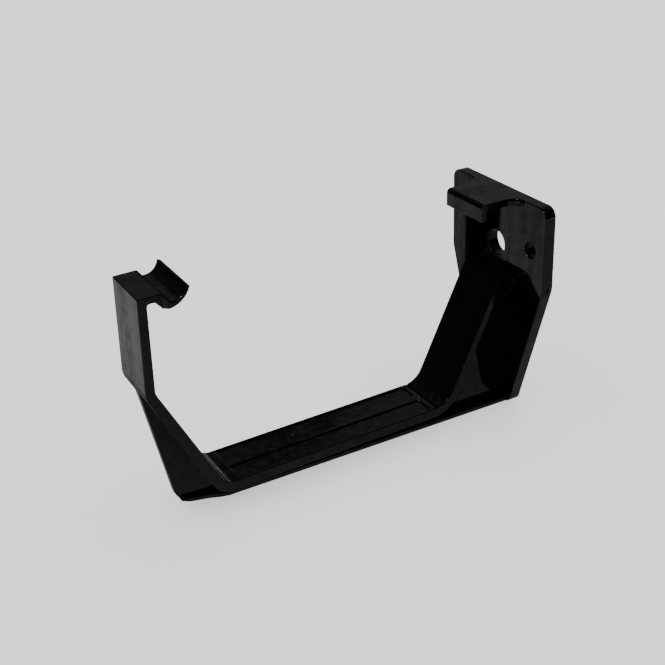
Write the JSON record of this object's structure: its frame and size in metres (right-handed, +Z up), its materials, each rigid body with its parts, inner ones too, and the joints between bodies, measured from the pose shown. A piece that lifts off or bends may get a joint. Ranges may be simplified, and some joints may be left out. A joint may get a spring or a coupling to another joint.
{
  "type": "gutter bracket",
  "caption": "One-piece moulded fascia bracket that carries a square-line gutter: wall plate with screw holes, rear hook, ribbed strap seat, front arm and curved snap catch.",
  "frame": {"origin": "centre of the middle screw hole on the wall face of the plate", "axes": "+Y into the wall, +Z up, X across the bracket with X = 0 as its middle plane; the seat and the front arm lie at -Y"},
  "size_m": [0.045, 0.1231, 0.0738],
  "materials": {
    "gloss_black": "gloss black injection-moulded plastic"
  },
  "bodies": {
    "root": {"bracket": "gloss_black"}
  },
  "joints": []
}
